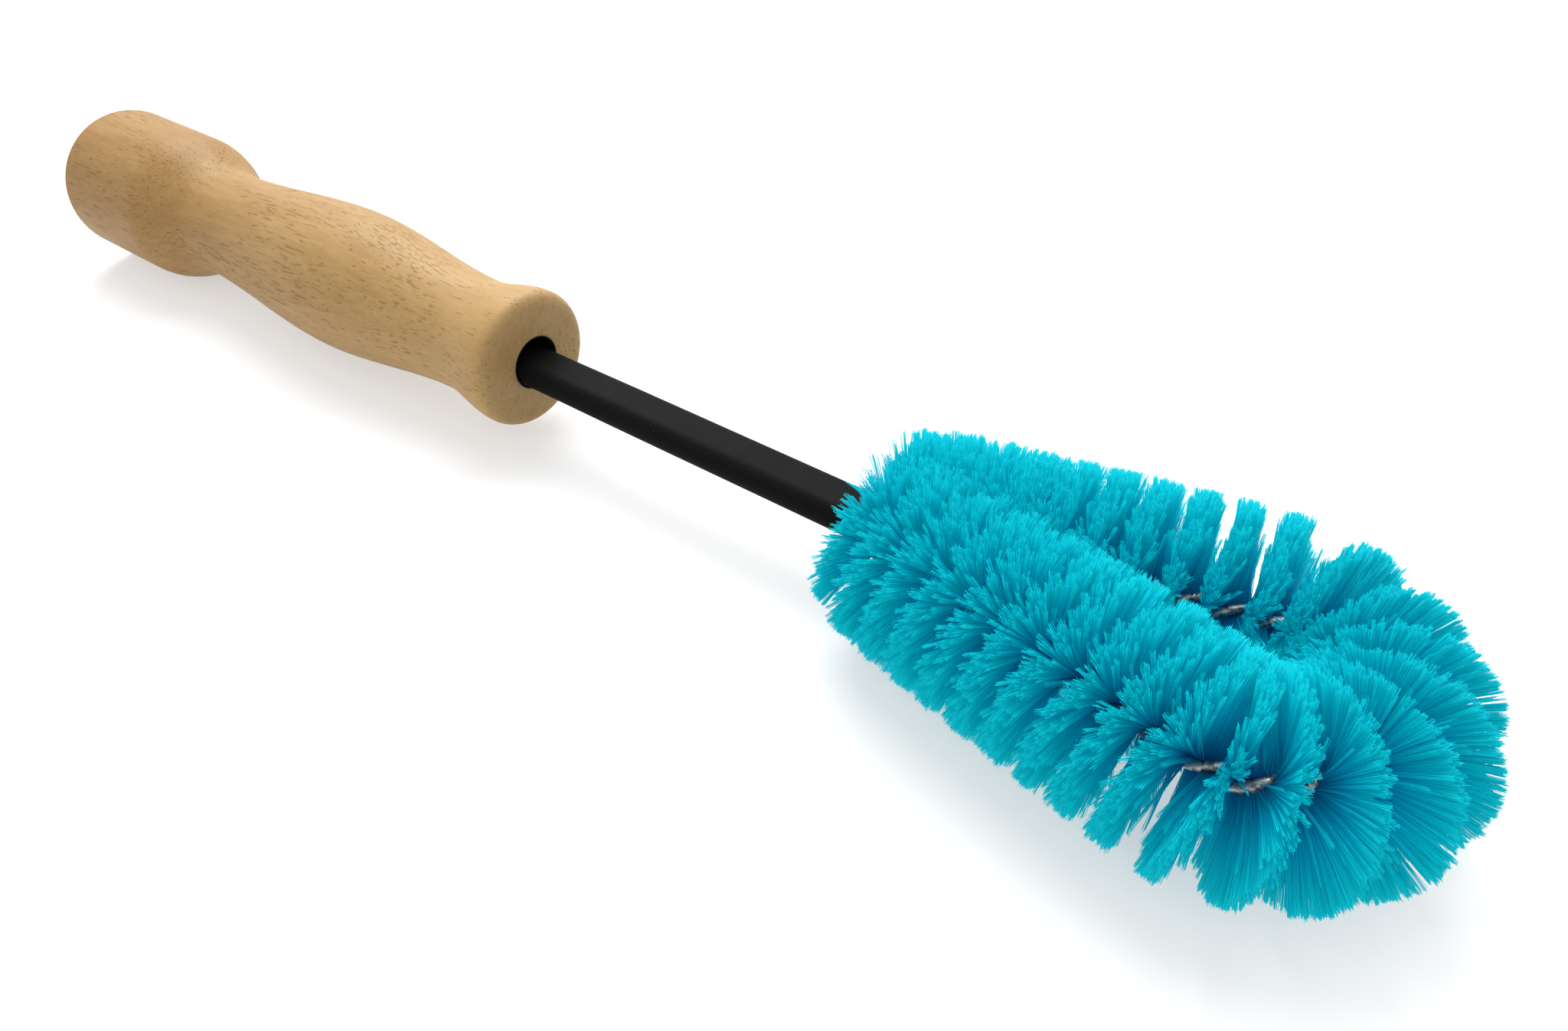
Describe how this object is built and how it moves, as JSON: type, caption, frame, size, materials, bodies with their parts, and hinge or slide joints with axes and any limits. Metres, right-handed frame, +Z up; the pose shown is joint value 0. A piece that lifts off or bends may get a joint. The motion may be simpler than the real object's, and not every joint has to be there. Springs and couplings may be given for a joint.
{
  "type": "wheel brush",
  "caption": "Hand brush for scrubbing wheels: a turned wooden grip, a sleeved wire stem and a looped twisted-wire head with dense bristles.",
  "frame": {"origin": "middle of the base of the brush's box, on the surface that the brush lies on", "axes": "+X from the butt to the tip of the head, +Z up, +Y across the loop of the head"},
  "size_m": [0.3394, 0.0708, 0.0362],
  "materials": {
    "turned_wood": "satin clear-coated pale hardwood",
    "adhesive": "cured amber adhesive",
    "black_plastic": "matte black plastic tube",
    "galvanised_wire": "bright galvanised wire",
    "bristle_fibre": "turquoise plastic fibre"
  },
  "bodies": {
    "root": {"bristles_bend_01": "bristle_fibre", "bristles_bend_02": "bristle_fibre", "bristles_bend_03": "bristle_fibre", "bristles_bend_04": "bristle_fibre", "bristles_bend_05": "bristle_fibre", "bristles_bend_06": "bristle_fibre", "bristles_bend_07": "bristle_fibre", "bristles_bend_08": "bristle_fibre", "bristles_bend_09": "bristle_fibre", "bristles_far_01": "bristle_fibre", "bristles_far_02": "bristle_fibre", "bristles_far_03": "bristle_fibre", "bristles_far_04": "bristle_fibre", "bristles_far_05": "bristle_fibre", "bristles_far_06": "bristle_fibre", "bristles_far_07": "bristle_fibre", "bristles_far_08": "bristle_fibre", "bristles_far_09": "bristle_fibre", "bristles_near_01": "bristle_fibre", "bristles_near_02": "bristle_fibre", "bristles_near_03": "bristle_fibre", "bristles_near_04": "bristle_fibre", "bristles_near_05": "bristle_fibre", "bristles_near_06": "bristle_fibre", "bristles_near_07": "bristle_fibre", "bristles_near_08": "bristle_fibre", "bristles_near_09": "bristle_fibre", "glue_plug": "adhesive", "handle": "turned_wood", "stem_sleeve": "black_plastic", "wire_strand_a": "galvanised_wire", "wire_strand_b": "galvanised_wire"}
  },
  "joints": []
}
